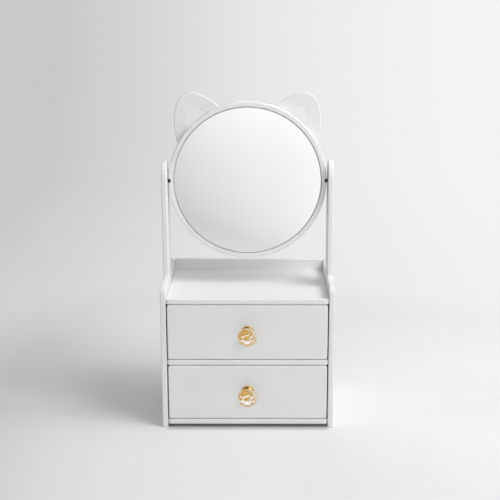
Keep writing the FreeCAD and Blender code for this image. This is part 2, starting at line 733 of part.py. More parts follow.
def knob_screw(name, place):
    """A pan-head screw from inside the drawer into the collar."""
    body = new_body(name, place)
    profile = new_sketch(body, "XY_Plane")
    polygon(profile, (
        ("0", "Sizes.board + Sizes.knob_screw_head_height"),
        ("0", "-" + KNOB_BITE + " + Sizes.fit_gap"),
        ("Sizes.knob_screw_radius", "-" + KNOB_BITE + " + Sizes.fit_gap"),
        ("Sizes.knob_screw_radius", "Sizes.board"),
        ("Sizes.knob_screw_head_radius", "Sizes.board"),
        ("Sizes.knob_screw_head_radius", "Sizes.board + Sizes.knob_screw_head_height"),
    ))
    revolve(body, profile, "V_Axis")
    fillet(body, "Sizes.knob_screw_head_height / 2",
           lambda edge, whole: same(edge.BoundBox.YMin, whole.YMax))


# ---- mirror ------------------------------------------------------------------------

def mirror_disc():
    """The round board that carries the glass in a recess and turns on the pivots."""
    body = new_body("mirror_disc", PIVOT)
    outline = new_sketch(body, "XZ_Plane", ("0", "0", "-" + DISC_BACK))
    circle(outline, "0", "0", "Sizes.disc_radius")
    pad(body, outline, "Sizes.disc_thickness")
    recess = new_sketch(body, "XZ_Plane", ("0", "0", "Sizes.pivot_depth"))
    circle(recess, "0", "0", "Sizes.recess_radius")
    pocket(body, recess, "Sizes.recess_depth")
    fillet(body, "Sizes.disc_rim_round",
           lambda edge, whole: same(edge.BoundBox.YMax, whole.YMin)
           and edge.BoundBox.XLength > 2 * size("recess_radius") + 1)
    notch = new_sketch(body, "XZ_Plane")
    rectangle(notch, NOTCH_FLOOR, "-Sizes.notch_width / 2", "Sizes.disc_radius", "Sizes.notch_width")
    mirror(body, pocket(body, notch, "4 * Sizes.disc_thickness", both_ways=True))
    inserts = new_sketch(body, "YZ_Plane", ("0", "0", NOTCH_FLOOR))
    circle(inserts, "0", "0", "Sizes.insert_radius + Sizes.fit_gap")
    mirror(body, pocket(body, inserts, "Sizes.insert_bore_depth"))
    pilots = new_sketch(body, "XZ_Plane", ("0", "0", "-" + DISC_BACK))
    circle(pilots, EAR_SCREW[0], EAR_SCREW[1], SMALL_BORE)
    pilot = pocket(body, pilots, "Sizes.small_screw_length - Sizes.ear_plate_thickness + 0.5",
                   backwards=True)
    ring_of(body, pilot, "Y_Axis", EAR_SCREWS)


def mirror_glass():
    body = new_body("mirror_glass", PIVOT)
    back = "Sizes.pivot_depth - Sizes.recess_depth + Sizes.tape_thickness"
    outline = new_sketch(body, "XZ_Plane", ("0", "0", back))
    circle(outline, "0", "0", "Sizes.glass_radius")
    pad(body, outline, "Sizes.glass_thickness")
    chamfer(body, "Sizes.glass_bevel", lambda edge, whole: same(edge.BoundBox.YMax, whole.YMin))


def mirror_tape():
    """Three foam tape pads that hold the glass in its recess."""
    body = new_body("mirror_tape", PIVOT)
    outline = new_sketch(body, "XZ_Plane", ("0", "0", "Sizes.pivot_depth - Sizes.recess_depth"))
    for row in (-1, 0, 1):
        rectangle(outline, "-Sizes.tape_length / 2",
                  "%d * Sizes.tape_pitch - Sizes.tape_width / 2" % row,
                  "Sizes.tape_length", "Sizes.tape_width")
    pad(body, outline, "Sizes.tape_thickness")


def arc(sketch, centre, radius, start, end):
    full = Part.Circle(Vector(centre[0], centre[1], 0), Vector(0, 0, 1), radius)
    return sketch.addGeometry(Part.ArcOfCircle(full, start, end), False)


def ear_side_and_tip(sketch, side_radius, tip_radius, tip_height):
    """Two arcs that meet smoothly: the ear's outer side, and the round of its tip.

    The arguments are aliases. Returns the tip arc's centre."""
    offset, rise = size("ear_side_offset"), size("ear_side_rise")
    tip_up = size(tip_height) - size(tip_radius)
    between = size(side_radius) - size(tip_radius)
    tip_across = offset + math.sqrt(between ** 2 - (tip_up - rise) ** 2)
    joint = math.atan2(tip_up - rise, tip_across - offset)
    arc(sketch, (offset, rise), size(side_radius), -joint, joint)
    arc(sketch, (tip_across, tip_up), size(tip_radius), joint, math.pi / 2 + joint)
    sketch.addConstraint(Sketcher.Constraint("Tangent", 0, 2, 1, 1))
    bind(sketch, "Radius", (0,), "side_radius", "Sizes." + side_radius)
    bind(sketch, "Radius", (1,), "tip_radius", "Sizes." + tip_radius)
    bind(sketch, "DistanceX", (-1, 1, 0, 3), "side_across", "Sizes.ear_side_offset")
    bind(sketch, "DistanceY", (-1, 1, 0, 3), "side_up", "Sizes.ear_side_rise")
    bind(sketch, "DistanceY", (-1, 1, 1, 3), "tip_up", "Sizes.%s - Sizes.%s" % (tip_height, tip_radius))
    return tip_across, tip_up


def ear_outline(sketch):
    """Outer side, tip and top of one ear, closed by a chord behind the disc."""
    tip = ear_side_and_tip(sketch, "ear_side_radius", "ear_tip_radius", "ear_tip_height")
    lean = math.radians(size("ear_top_lean"))
    between = size("ear_top_radius") - size("ear_tip_radius")
    top = (tip[0] + between * math.sin(lean), tip[1] - between * math.cos(lean))
    arc(sketch, top, size("ear_top_radius"), math.pi / 2 + lean, math.pi / 2 + 3 * lean)
    sketch.addGeometry(Part.LineSegment(Vector(size("ear_root_across"), size("ear_side_rise"), 0),
                                        Vector(size("ear_side_radius"), 0, 0)), False)
    sketch.addConstraint(Sketcher.Constraint("Tangent", 1, 2, 2, 1))
    sketch.addConstraint(Sketcher.Constraint("Coincident", 2, 2, 3, 1))
    sketch.addConstraint(Sketcher.Constraint("Coincident", 3, 2, 0, 1))
    bind(sketch, "Radius", (2,), "top_radius", "Sizes.ear_top_radius")
    bind(sketch, "DistanceX", (1, 3, 2, 3), "top_shift",
         "(Sizes.ear_top_radius - Sizes.ear_tip_radius) * sin(Sizes.ear_top_lean * 1deg)")
    bind(sketch, "DistanceX", (-1, 1, 2, 2), "root_across", "Sizes.ear_root_across")
    bind(sketch, "DistanceY", (-1, 1, 0, 1), "root_low", "Sizes.ear_root_low")


def ear_cutout(sketch):
    """The ear-shaped window, bounded below by an arc hidden behind the disc."""
    tip = ear_side_and_tip(sketch, "cutout_side_radius", "cutout_tip_radius", "cutout_tip_height")
    inner = size("cutout_inner_radius")
    root_across = size("cutout_root_across")
    root_angle = math.acos(root_across / inner)
    root = Vector(root_across, inner * math.sin(root_angle), 0)
    sketch.addGeometry(Part.LineSegment(Vector(tip[0] - 6, tip[1] + 10, 0), root), False)
    arc(sketch, (0, 0), inner, root_angle - math.radians(20), root_angle)
    sketch.addConstraint(Sketcher.Constraint("Tangent", 1, 2, 2, 1))
    sketch.addConstraint(Sketcher.Constraint("Coincident", 2, 2, 3, 2))
    sketch.addConstraint(Sketcher.Constraint("Coincident", 3, 1, 0, 1))
    sketch.addConstraint(Sketcher.Constraint("Coincident", 3, 3, -1, 1))
    bind(sketch, "Radius", (3,), "inner_radius", "Sizes.cutout_inner_radius")
    bind(sketch, "DistanceX", (-1, 1, 2, 2), "root_across", "Sizes.cutout_root_across")


def ear_plate():
    """The thin plate behind the disc: a round with two cat ears, each with a window."""
    body = new_body("ear_plate", PIVOT)
    ear = new_sketch(body, "XZ_Plane", ("0", "0", "-" + DISC_BACK))
    ear_outline(ear)
    mirror(body, pad(body, ear, "Sizes.ear_plate_thickness", backwards=True))

    def beyond_round(edge, whole):
        middle = edge.CenterOfMass
        outside = math.hypot(middle.x, middle.z) > size("ear_plate_radius")
        return outside and edge.BoundBox.YLength < TOUCH

    fillet(body, "Sizes.ear_edge_round", beyond_round)
    window = new_sketch(body, "XZ_Plane", ("0", "0", "-" + DISC_BACK))
    ear_cutout(window)
    mirror(body, pocket(body, window, "Sizes.ear_plate_thickness"))

    def round_window(edge, whole):
        low = edge.BoundBox.ZMax < size("cutout_tip_height") + TOUCH
        far = max(abs(edge.BoundBox.XMin), abs(edge.BoundBox.XMax))
        inside = far < size("cutout_side_radius") + size("ear_side_offset") + TOUCH
        near = min(abs(edge.BoundBox.XMin), abs(edge.BoundBox.XMax)) > size("cutout_root_across") - 1
        return beyond_round(edge, whole) and low and inside and near

    fillet(body, "Sizes.window_edge_round", round_window)
    front, back = DISC_BACK, "(" + DISC_BACK + " + Sizes.ear_plate_thickness)"
    round_plate = new_sketch(body, "XY_Plane")
    polygon(round_plate, (
        ("0", front),
        ("Sizes.ear_plate_radius", front),
        ("Sizes.ear_plate_radius", back + " - Sizes.ear_plate_bevel"),
        ("Sizes.ear_plate_radius - Sizes.ear_plate_bevel", back),
        ("0", back),
    ))
    revolve(body, round_plate, "V_Axis")
    notch = new_sketch(body, "XZ_Plane")
    rectangle(notch, NOTCH_FLOOR, "-Sizes.notch_width / 2", "Sizes.disc_radius", "Sizes.notch_width")
    mirror(body, pocket(body, notch, "4 * Sizes.disc_thickness", both_ways=True))
    screws = new_sketch(body, "XZ_Plane", ("0", "0", "-" + back))
    circle(screws, EAR_SCREW[0], EAR_SCREW[1], "1")
    hole = countersink(body, screws, SMALL_BORE, "Sizes.small_screw_head_radius + Sizes.fit_gap", True)
    ring_of(body, hole, "Y_Axis", EAR_SCREWS)


def ear_plate_screws():
    body = new_body("ear_plate_screws", PIVOT)
    back = DISC_BACK + " + Sizes.ear_plate_thickness"
    profile = new_sketch(body, "YZ_Plane", (back, EAR_SCREW[1], EAR_SCREW[0]))
    screw_profile(profile, "Sizes.small_screw_radius", "Sizes.small_screw_head_radius",
                  "Sizes.small_screw_length", "-")
    ring_of(body, revolve(body, profile, "H_Axis"), "Y_Axis", EAR_SCREWS)


def pivot_set(name, side):
    """Bolt, spacer bush and threaded insert of one pivot, all on the mirror's axis."""
    way = "" if side < 0 else "-"
    bolt = new_body("%s_pivot_bolt" % name, PIVOT)
    bolt_profile = new_sketch(bolt, "XY_Plane", ("%d * Sizes.width / 2" % side, "0", "0"))
    screw_profile(bolt_profile, "Sizes.bolt_radius", "Sizes.bolt_head_radius", "Sizes.bolt_length", way)
    revolve(bolt, bolt_profile, "H_Axis")

    bush = new_body("%s_pivot_bush" % name, PIVOT)
    bush_ring = new_sketch(bush, "YZ_Plane", ("0", "0", "%d * %s" % (side, NOTCH_FLOOR)))
    circle(bush_ring, "0", "0", "Sizes.bush_radius")
    circle(bush_ring, "0", "0", "Sizes.bush_bore_radius")
    pad(bush, bush_ring, "%s - %s - 2 * Sizes.fit_gap" % (INNER, NOTCH_FLOOR), side < 0)

    insert = new_body("%s_pivot_insert" % name, PIVOT)
    insert_ring = new_sketch(insert, "YZ_Plane", ("0", "0", "%d * %s" % (side, NOTCH_FLOOR)))
    circle(insert_ring, "0", "0", "Sizes.insert_radius")
    circle(insert_ring, "0", "0", "Sizes.bolt_radius + Sizes.fit_gap")
    pad(insert, insert_ring, "Sizes.insert_length", side > 0)


# ---- assembly ----------------------------------------------------------------------

side_panel("left_side_panel", -1)
side_panel("right_side_panel", 1)
for board_name, board_level in BOARD_LEVELS.items():
    cross_board(board_name, board_level)
back_rail()
back_panel()
carcass_screws()
back_panel_screws()
drawer("lower", BOARD_LEVELS["bottom_board"])
drawer("upper", BOARD_LEVELS["middle_shelf"])
mirror_disc()
mirror_glass()
mirror_tape()
ear_plate()
ear_plate_screws()
pivot_set("left", -1)
pivot_set("right", 1)
doc.recompute()

for item in doc.Objects:
    if "Invalid" in item.State or "Error" in item.State:
        raise RuntimeError("%s did not build: %s" % (item.Label, item.getStatusString()))
pieces = [item for item in doc.Objects if item.TypeId == "PartDesign::Body"]
for piece in pieces:
    if piece.Shape.isNull() or not piece.Shape.isValid():
        raise RuntimeError(piece.Label + " has no sound shape")
os.makedirs("parts", exist_ok=True)
for piece in pieces:
    piece.Shape.exportStep("parts/%s.step" % piece.Label)
    print("%-26s solids %2d  volume %9.0f mm3" % (piece.Label, len(piece.Shape.Solids), piece.Shape.Volume))
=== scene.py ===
"""Finish, light and camera for the vanity mirror with two drawers. Metres, +Z up, -Y to the user."""
import math

import bpy
from mathutils import Matrix, Vector

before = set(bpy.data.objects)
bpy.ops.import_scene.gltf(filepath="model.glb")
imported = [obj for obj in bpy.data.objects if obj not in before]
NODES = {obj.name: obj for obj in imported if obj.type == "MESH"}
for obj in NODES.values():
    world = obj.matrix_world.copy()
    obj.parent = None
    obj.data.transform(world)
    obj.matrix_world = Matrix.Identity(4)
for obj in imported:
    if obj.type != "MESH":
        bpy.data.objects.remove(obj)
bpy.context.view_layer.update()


# ---- the view ----------------------------------------------------------------------

# Fitted to the corners, edges and circles in the photograph.
CAMERA_PLACE = Vector((0.0234, -1.6059, 0.6643))
CAMERA_YAW = math.radians(0.71)
CAMERA_PITCH = math.radians(13.746)
CAMERA_ROLL = math.radians(-0.189)
SENSOR_WIDTH = 36.0
# The focal length fitted to the photograph, in pixels of its 500 pixel width.
FOCAL_PIXELS = 1033.67
PICTURE_WIDTH = 500.0


def add_camera():
    data = bpy.data.cameras.new("camera")
    data.sensor_width = SENSOR_WIDTH
    data.lens = SENSOR_WIDTH * FOCAL_PIXELS / PICTURE_WIDTH
    camera = bpy.data.objects.new("camera", data)
    bpy.context.scene.collection.objects.link(camera)
    camera.matrix_world = (
        Matrix.Translation(CAMERA_PLACE)
        @ Matrix.Rotation(CAMERA_YAW, 4, "Z")
        @ Matrix.Rotation(math.pi / 2 - CAMERA_PITCH, 4, "X")
        @ Matrix.Rotation(CAMERA_ROLL, 4, "Z")
    )
    bpy.context.scene.camera = camera


# ---- node helpers ------------------------------------------------------------------

class Shader:
    """A material's or the world's node tree, with short names for what is used here."""

    def __init__(self, owner):
        owner.use_nodes = True
        self.tree = owner.node_tree
        self.tree.nodes.clear()
        self.coordinates = None
        self.surface = None

    def node(self, kind, **settings):
        made = self.tree.nodes.new("ShaderNode" + kind)
        for name, value in settings.items():
            setattr(made, name, value)
        return made

    def link(self, source, target):
        self.tree.links.new(source, target)

    def place(self, socket="Object"):
        """The surface's place in the object's own frame, which rides with its body."""
        if self.coordinates is None:
            self.coordinates = self.node("TexCoord")
        return self.coordinates.outputs[socket]

    def stretched(self, scale):
        """The place, scaled along each axis, for grain."""
        mapping = self.node("Mapping")
        mapping.inputs["Scale"].default_value = scale
        self.link(self.place(), mapping.inputs["Vector"])
        return mapping.outputs["Vector"]

    def parts(self, vector):
        """The X, Y and Z of a vector."""
        split = self.node("SeparateXYZ")
        self.link(vector, split.inputs["Vector"])
        return split.outputs["X"], split.outputs["Y"], split.outputs["Z"]

    def length(self, vector):
        made = self.node("VectorMath", operation="LENGTH")
        self.link(vector, made.inputs[0])
        return made.outputs["Value"]

    def noise(self, size, detail=3.0, vector=None):
        """Smooth noise whose blotches are about size metres across."""
        noise = self.node("TexNoise")
        noise.inputs["Scale"].default_value = 1.0 / size
        noise.inputs["Detail"].default_value = detail
        self.link(vector or self.place(), noise.inputs["Vector"])
        return noise.outputs["Fac"]

    def ramp(self, factor, stops):
        """A colour ramp. Each stop is (position, value or colour)."""
        ramp = self.node("ValToRGB")
        while len(ramp.color_ramp.elements) < len(stops):
            ramp.color_ramp.elements.new(position=1.0)
        for element, (position, colour) in zip(ramp.color_ramp.elements, stops):
            element.position = position
            element.color = rgba(colour)
        self.link(factor, ramp.inputs["Fac"])
        return ramp.outputs["Color"]

    def math(self, operation, first, second=None):
        made = self.node("Math", operation=operation)
        for value, socket in zip((first, second), made.inputs):
            if isinstance(value, (int, float)):
                socket.default_value = value
            elif value is not None:
                self.link(value, socket)
        return made.outputs["Value"]

    def stretch(self, value, low, high, to_low=0.0, to_high=1.0):
        """The value's span low to high mapped on to_low to to_high, and kept inside it."""
        made = self.node("MapRange")
        made.inputs["From Min"].default_value = low
        made.inputs["From Max"].default_value = high
        made.inputs["To Min"].default_value = to_low
        made.inputs["To Max"].default_value = to_high
        self.link(value, made.inputs["Value"])
        return made.outputs["Result"]

    def mix(self, factor, first, second):
        made = self.node("Mix", data_type="RGBA")
        for name, value in (("Factor_Float", factor), ("A_Color", first), ("B_Color", second)):
            socket = next(s for s in made.inputs if s.identifier == name)
            if hasattr(value, "node"):
                self.link(value, socket)
            else:
                socket.default_value = value if name == "Factor_Float" else rgba(value)
        return next(s for s in made.outputs if s.identifier == "Result_Color")

    def bump(self, height, distance):
        made = self.node("Bump")
        made.inputs["Distance"].default_value = distance
        self.link(height, made.inputs["Height"])
        return made.outputs["Normal"]

    def emission(self, colour, strength):
        painted_glow = self.node("Emission")
        for name, value in (("Color", colour), ("Strength", strength)):
            if hasattr(value, "node"):
                self.link(value, painted_glow.inputs[name])
            else:
                painted_glow.inputs[name].default_value = value if name == "Strength" else rgba(value)
        return painted_glow.outputs["Emission"]

    def mix_shaders(self, factor, first, second):
        both = self.node("MixShader")
        for socket, source in zip(both.inputs, (factor, first, second)):
            self.link(source, socket)
        return both.outputs["Shader"]

    def principled(self, **sockets):
        """A principled shader, whose sockets take a link, a number or a colour.

        The first one made is the surface, until another shader is linked to it.
        """
        shader = self.node("BsdfPrincipled")
        for name, value in sockets.items():
            socket = shader.inputs[name.replace("_", " ")]
            if hasattr(value, "node"):
                self.link(value, socket)
            elif isinstance(socket.default_value, float):
                socket.default_value = value
            else:
                socket.default_value = rgba(value)
        if self.surface is None:
            self.surface = self.node("OutputMaterial").inputs["Surface"]
            self.link(shader.outputs["BSDF"], self.surface)
        return shader


def rgba(colour):
    if isinstance(colour, (int, float)):
        return (colour, colour, colour, 1.0)
    return (*colour, 1.0)


def new_material(name):
    material = bpy.data.materials.new(name)
    return material, Shader(material)


def finish_nodes(material, *names):
    """Gives CAD nodes this finish."""
    for name in names:
        for material_slot in NODES[name].material_slots:
            material_slot.material = material


# ---- finishes ----------------------------------------------------------------------

# Lengths are in metres, and colours and brightness in linear light.
# The span that holds nearly all the values of a noise.
NOISE_SPAN = (0.3, 0.7)

PAINT = (0.83, 0.83, 0.835)
PAINT_THIN = (0.818, 0.818, 0.823)
PAINT_ROUGHNESS = (0.5, 0.62)
PAINT_GLOSS = 0.32
PATCH_SIZE = 0.045
PATCH_SPAN = (0.35, 0.75)
SATIN_SIZE = 0.012
PEEL_SIZE = 0.0016
PEEL_DEPTH = 0.00001
# Brown board colour is mixed into the paint, with noise, below the first of these heights, and most
# below the second.
BROWN_BELOW_HEIGHTS = (0.0009, 0.0003)
BROWN_SPAN = (0.1, 0.4)
BROWN_NOISE_SIZE = 0.004
BOTTOM_BROWN = (0.42, 0.29, 0.19)

THIN_BOARD_TONES = ((0.76, 0.76, 0.75), (0.7, 0.7, 0.69))
PEBBLE_SIZE = 0.0022
PEBBLE_DEPTH = 0.00008
BEECH_TONES = ((0.3, (0.55, 0.36, 0.2)), (0.7, (0.72, 0.52, 0.32)))
BEECH_GRAIN_SIZE = 0.002
BEECH_GRAIN_STRETCH = (1.0, 0.08, 1.0)
BEECH_GRAIN_DEPTH = 0.0001
ZINC = (0.62, 0.63, 0.65)
NICKEL = (0.66, 0.65, 0.62)
INSERT_BRASS = (0.78, 0.6, 0.3)
METAL_MARK_SIZE = 0.0006
METAL_DULL_TONE = 0.9
METAL_DULL_ROUGHNESS = 1.35
NYLON_TONES = (0.012, 0.022)
NYLON_GRAIN_SIZE = 0.0005
NYLON_GRAIN_DEPTH = 0.00003
FOAM_TONES = (0.8, 0.68)
CELL_SIZE = 0.0008
CELL_DEPTH = 0.0002
SILVER_TONES = (0.952, 0.944)
SILVER_ROUGHNESS = 0.02
HAZE_SIZE = 0.03

GOLD = (0.84, 0.55, 0.16)
GOLD_DULL_TONE = 0.92
GOLD_ROUGHNESS = (0.14, 0.2)
# Painted shade and dark reflection: the rosette's hollow is dark at its left. Its soft edges end at
# these distances from the axis, and at these shares of the base's width.
HOLLOW_SHADE_GOLD = (0.2, 0.09, 0.015)
HOLLOW_SHADE_RADIUS = (0.0104, 0.0098)
HOLLOW_SHADE_ACROSS = (0.75, 0.5)
# The cup's floor behind the stone: within this share of the base's depth, and this radius.
CUP_DEPTH = 0.3
CUP_RADIUS = 0.0064
# The foil behind the stones by distance from its gold middle, in shares of FOIL_REACH metres.
FOIL_REACH = 0.015
FOIL_TONES = ((0.21, (0.95, 0.7, 0.22)), (0.24, (0.5, 0.28, 0.05)), (0.28, (0.95, 0.72, 0.3)),
              (0.36, (0.92, 0.85, 0.72)), (0.42, (0.97, 0.94, 0.91)))
FOIL_SHIFT = (-0.0018, -0.001)
FOIL_ROUGHNESS = 0.03

STONE = (0.98, 0.985, 0.99)
STONE_IOR = 1.45
POLISH_SIZE = 0.004
STONE_ROUGHNESS = (0.0, 0.012)
# What is left of the light that falls through the stone on what is behind it.
STONE_SHADE = (1.0, 0.95, 0.88)
# Met from inside, the facets at the stone's back have normals whose Y is less than this.
BACK_NORMAL = -0.03
# A ray that was reflected before meets a painted glow that stands in for light caught in the stone.
# Its tone is set by the facet's normal, from those turned down and left to those turned up and
# right.
PAINTED_GLOW_TONES = ((0.0, (1.0, 0.99, 0.98)), (0.35, (0.92, 0.9, 0.87)), (0.5, (0.7, 0.62, 0.53)),
                (0.7, (0.9, 0.87, 0.83)), (1.0, (1.0, 0.98, 0.96)))
PAINTED_GLOW_TILT = (-1.2, 1.2)
# Between no reflection and the first one.
PAINTED_GLOW_DEPTH = 0.5


def white_paint():
    """Sprayed satin paint with a fine orange peel and thinner patches, brownish at the very bottom.
    """
    material, shader = new_material("white_paint")
    patches = shader.noise(PATCH_SIZE, detail=2.0)
    colour = shader.mix(shader.stretch(patches, *PATCH_SPAN), PAINT, PAINT_THIN)
    height = shader.parts(shader.place())[2]
    # Brown mixed in at the very bottom, with noise.
    brown_noise = shader.noise(BROWN_NOISE_SIZE, detail=4.0)
    brown_share = shader.math("MULTIPLY", shader.stretch(height, *BROWN_BELOW_HEIGHTS), brown_noise)
    colour = shader.mix(shader.stretch(brown_share, *BROWN_SPAN), colour, BOTTOM_BROWN)
    peel = shader.noise(PEEL_SIZE, detail=2.0)
    roughness = shader.stretch(shader.noise(SATIN_SIZE), *NOISE_SPAN, *PAINT_ROUGHNESS)
    shader.principled(Base_Color=colour, Roughness=roughness, Specular_IOR_Level=PAINT_GLOSS,
                      Normal=shader.bump(peel, PEEL_DEPTH))
    return material


def thin_board():
    """White faced hardboard with a very fine pebble."""
    material, shader = new_material("thin_board")
    pebble = shader.noise(PEBBLE_SIZE, detail=4.0)
    colour = shader.mix(shader.stretch(pebble, *NOISE_SPAN), *THIN_BOARD_TONES)
    shader.principled(Base_Color=colour, Roughness=0.6,
                      Normal=shader.bump(pebble, PEBBLE_DEPTH))
    return material


def beech():
    """Bare beech with its grain along the dowel."""
    material, shader = new_material("beech")
    grain = shader.noise(BEECH_GRAIN_SIZE, detail=5.0,
                         vector=shader.stretched(BEECH_GRAIN_STRETCH))
    colour = shader.ramp(grain, BEECH_TONES)
    shader.principled(Base_Color=colour, Roughness=0.7,
                      Normal=shader.bump(grain, BEECH_GRAIN_DEPTH))
    return material


def metal(name, colour, roughness):
    """Plain metal with fine marks."""
    material, shader = new_material(name)
    marks = shader.stretch(shader.noise(METAL_MARK_SIZE), *NOISE_SPAN)
    tone = shader.mix(marks, colour, [METAL_DULL_TONE * part for part in colour])
    spread = shader.stretch(marks, 0.0, 1.0, roughness, roughness * METAL_DULL_ROUGHNESS)
    shader.principled(Base_Color=tone, Metallic=1.0, Roughness=spread)
    return material


def nylon():
    """Black nylon with a fine grain."""
    material, shader = new_material("black_nylon")
    grain = shader.noise(NYLON_GRAIN_SIZE)
    colour = shader.mix(shader.stretch(grain, *NOISE_SPAN), *NYLON_TONES)
    shader.principled(Base_Color=colour, Roughness=0.5,
                      Normal=shader.bump(grain, NYLON_GRAIN_DEPTH))
    return material


def foam():
    """White foam tape with open cells."""
    material, shader = new_material("foam_tape")
    cells = shader.noise(CELL_SIZE, detail=5.0)
    colour = shader.mix(shader.stretch(cells, *NOISE_SPAN), *FOAM_TONES)
    shader.principled(Base_Color=colour, Roughness=0.9, Normal=shader.bump(cells, CELL_DEPTH))
    return material


def knob_radius(shader, name, right=0.0, up=0.0):
    """Distance in metres from a line along the knob, this far off its axis."""
    width = NODES[name].dimensions.x
    across = shader.node("VectorMath", operation="MULTIPLY_ADD")
    shader.link(shader.place("Generated"), across.inputs[0])
    across.inputs[1].default_value = (width, 0.0, width)
    across.inputs[2].default_value = (-width / 2 - right, 0.0, -width / 2 - up)
    return shader.length(across.outputs["Vector"])


def foil(shader, name):
    """Silver foil behind the stone, gold and off centre at its middle."""
    away = knob_radius(shader, name, *FOIL_SHIFT)
    return shader.ramp(shader.stretch(away, 0.0, FOIL_REACH), FOIL_TONES)


def gilt():
    """Polished gold plate with painted shade at the left of its hollow, and the foil on the floor of
    the cup behind the stone.
    """
    name = "upper_knob_base"
    material, shader = new_material("gold")
    marks = shader.stretch(shader.noise(METAL_MARK_SIZE), *NOISE_SPAN)
    plate = shader.mix(marks, GOLD, [GOLD_DULL_TONE * part for part in GOLD])
    across, depth, _ = shader.parts(shader.place("Generated"))
    radius = knob_radius(shader, name)
    # Painted shade and dark reflection in the rosette's hollow, at its left.
    painted_hollow_shade = shader.math("MULTIPLY", shader.stretch(radius, *HOLLOW_SHADE_RADIUS),
                         shader.stretch(across, *HOLLOW_SHADE_ACROSS))
    plate = shader.mix(painted_hollow_shade, plate, HOLLOW_SHADE_GOLD)
    in_cup = shader.math("MULTIPLY", shader.math("LESS_THAN", depth, CUP_DEPTH),
                         shader.math("LESS_THAN", radius, CUP_RADIUS))
    colour = shader.mix(in_cup, plate, foil(shader, name))
    shader.principled(Base_Color=colour, Metallic=1.0,
                      Roughness=shader.stretch(marks, 0.0, 1.0, *GOLD_ROUGHNESS))
    return material


def crystal():
    """Clear cut stone with foil behind it, and a painted glow where light is caught in it."""
    name = "upper_knob_crystal"
    material, shader = new_material("crystal")
    polish = shader.stretch(shader.noise(POLISH_SIZE), *NOISE_SPAN, *STONE_ROUGHNESS)
    glass = shader.principled(Base_Color=STONE, Roughness=polish, IOR=STONE_IOR,
                              Transmission_Weight=1.0)
    silver = shader.principled(Base_Color=foil(shader, name), Roughness=FOIL_ROUGHNESS,
                               Metallic=1.0)
    facet = shader.node("NewGeometry").outputs
    across, depth, up = shader.parts(facet["True Normal"])
    behind = shader.math("MULTIPLY", facet["Backfacing"],
                         shader.math("LESS_THAN", depth, BACK_NORMAL))
    stone = shader.mix_shaders(behind, glass.outputs["BSDF"], silver.outputs["BSDF"])
    tilt = shader.stretch(shader.math("ADD", across, up), *PAINTED_GLOW_TILT)
    # A painted glow: the stone shines with these tones though it is no lamp.
    painted_glow = shader.emission(shader.ramp(tilt, PAINTED_GLOW_TONES), 1.0)
    rays = shader.node("LightPath").outputs
    painted_glow_ray = shader.math("GREATER_THAN", rays["Glossy Depth"], PAINTED_GLOW_DEPTH)
    clear = shader.node("BsdfTransparent")
    clear.inputs["Color"].default_value = rgba(STONE_SHADE)
    unlit = shader.mix_shaders(painted_glow_ray, stone, painted_glow)
    shader.link(shader.mix_shaders(rays["Is Shadow Ray"], unlit, clear.outputs["BSDF"]),
                shader.surface)
    return material


def silvered_glass():
    """Silvered glass with the faintest haze."""
    material, shader = new_material("silvered_glass")
    haze = shader.noise(HAZE_SIZE)
    colour = shader.mix(shader.stretch(haze, *NOISE_SPAN), *SILVER_TONES)
    shader.principled(Base_Color=colour, Metallic=1.0, Roughness=SILVER_ROUGHNESS)
    return material


DRAWERS = ("lower", "upper")


def finish_all():
    """Gives every CAD node its finish."""
    finish_nodes(white_paint(), "left_side_panel", "right_side_panel", "bottom_board",
                 "middle_shelf", "top_shelf", "back_rail", "mirror_disc", "ear_plate",
                 *(drawer + "_drawer_" + part for drawer in DRAWERS
                   for part in ("front", "left_side", "right_side", "back")))
    finish_nodes(thin_board(), "back_panel", *(drawer + "_drawer_bottom" for drawer in DRAWERS))
    finish_nodes(beech(), *(drawer + "_drawer_dowels" for drawer in DRAWERS))
    finish_nodes(metal("zinc", ZINC, 0.35), "carcass_screws", "back_panel_screws",
                 "ear_plate_screws", *(drawer + "_drawer_screws" for drawer in DRAWERS),
                 *(drawer + "_knob_screw" for drawer in DRAWERS))
    finish_nodes(metal("nickel", NICKEL, 0.22), "left_pivot_bolt", "right_pivot_bolt")
    finish_nodes(metal("insert_brass", INSERT_BRASS, 0.3), "left_pivot_insert",
                 "right_pivot_insert")
    finish_nodes(gilt(), *(drawer + "_knob_base" for drawer in DRAWERS))
    finish_nodes(nylon(), "left_pivot_bush", "right_pivot_bush")
    finish_nodes(foam(), "mirror_tape")
    finish_nodes(crystal(), *(drawer + "_knob_crystal" for drawer in DRAWERS))
    finish_nodes(silvered_glass(), "mirror_glass")


# ---- floor, backdrop and light -----------------------------------------------------

# The sheet's front and back edges along Y, its size and the round bend at its back.
FLOOR_FRONT = -6.0
BACKDROP_DEPTH = 2.6
BACKDROP_HALF_WIDTH = 5.0
BACKDROP_HEIGHT = 2.2
SWEEP_RADIUS = 0.6
SWEEP_STEPS = 24
PAPER = 0.974
FIBRE_SIZE = 0.004
FIBRE_TONES = (0.995, 1.005)
# Painted shade makes the paper greyer at either side and in front. Its share of PAPER along X and
# along Y.
PAPER_WIDTH = (-0.5, 0.5)
SHADE_TONES_ACROSS = ((0.08, 0.845), (0.2, 0.955), (0.3, 1.0), (0.5, 1.0), (0.62, 0.95))
PAPER_LENGTH = (-0.3, 0.5)
SHADE_TONES_ALONG = ((0.0, 0.86), (0.25, 0.902), (0.375, 0.879), (0.5, 0.902), (0.69, 0.969),
               (0.9, 1.0))
# A painted contact shadow where light hardly reaches, between the feet: the outer and inner end of
# its soft edges, from the middle given next along Y and from the middle along X, and its share of
# the paper's tone.
CONTACT_SHADOW_MIDDLE = 0.018
CONTACT_SHADOW_ALONG = (0.108, 0.1)
CONTACT_SHADOW_ACROSS = (0.131, 0.123)
CONTACT_SHADOW_TONE = 0.7
